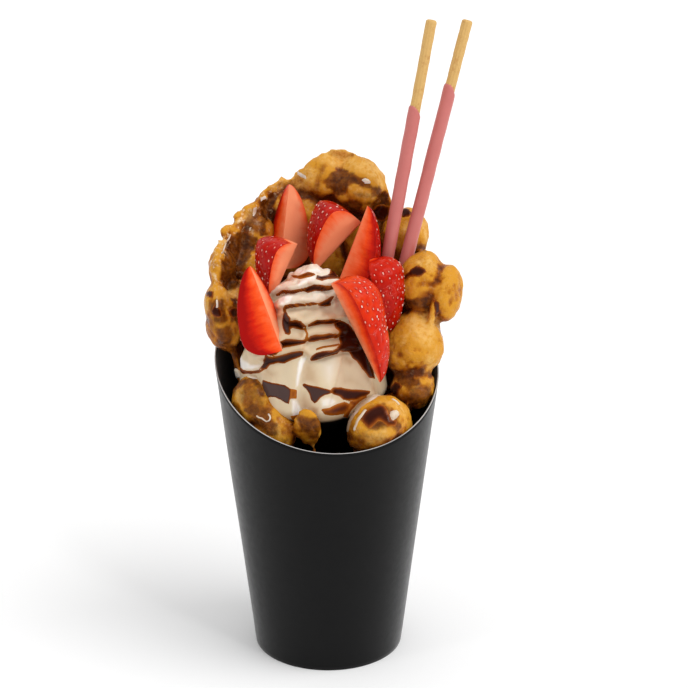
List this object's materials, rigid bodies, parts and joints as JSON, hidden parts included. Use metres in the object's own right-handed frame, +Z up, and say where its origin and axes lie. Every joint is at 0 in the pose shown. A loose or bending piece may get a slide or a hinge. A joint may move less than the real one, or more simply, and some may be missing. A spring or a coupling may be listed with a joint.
{
  "type": "bubble waffle in a paper cup",
  "caption": "Bubble waffle rolled round fluted ice cream with chocolate drizzle, strawberry wedges and coated biscuit sticks, in a slanted paper cup.",
  "frame": {"origin": "middle of the whole footprint, on the surface that the cup stands on; the cup's own axis stands 4 mm to the left and 6.2 mm to the front of it", "axes": "+Z up along the cup's axis; -Y is the front, where the rim is lowest; +X is to the right as seen from the front"},
  "size_m": [0.1144, 0.1043, 0.2765],
  "materials": {
    "black_card": "satin black coated card, paler along its cut edge",
    "golden_waffle": "golden baked batter with browned patches and dark chocolate sauce",
    "vanilla_cream": "smooth vanilla ice cream under glossy chocolate drizzle",
    "ripe_berry": "wet strawberry skin with seeds, and paler cut flesh",
    "pink_coating": "satin pink coating over a pale biscuit end"
  },
  "bodies": {
    "root": {"cup": "black_card", "waffle": "golden_waffle", "ice_cream": "vanilla_cream", "strawberry_1": "ripe_berry", "strawberry_2": "ripe_berry", "strawberry_3": "ripe_berry", "strawberry_4": "ripe_berry", "strawberry_5": "ripe_berry", "strawberry_6": "ripe_berry", "strawberry_7": "ripe_berry", "stick_1": "pink_coating", "stick_2": "pink_coating"}
  },
  "joints": []
}
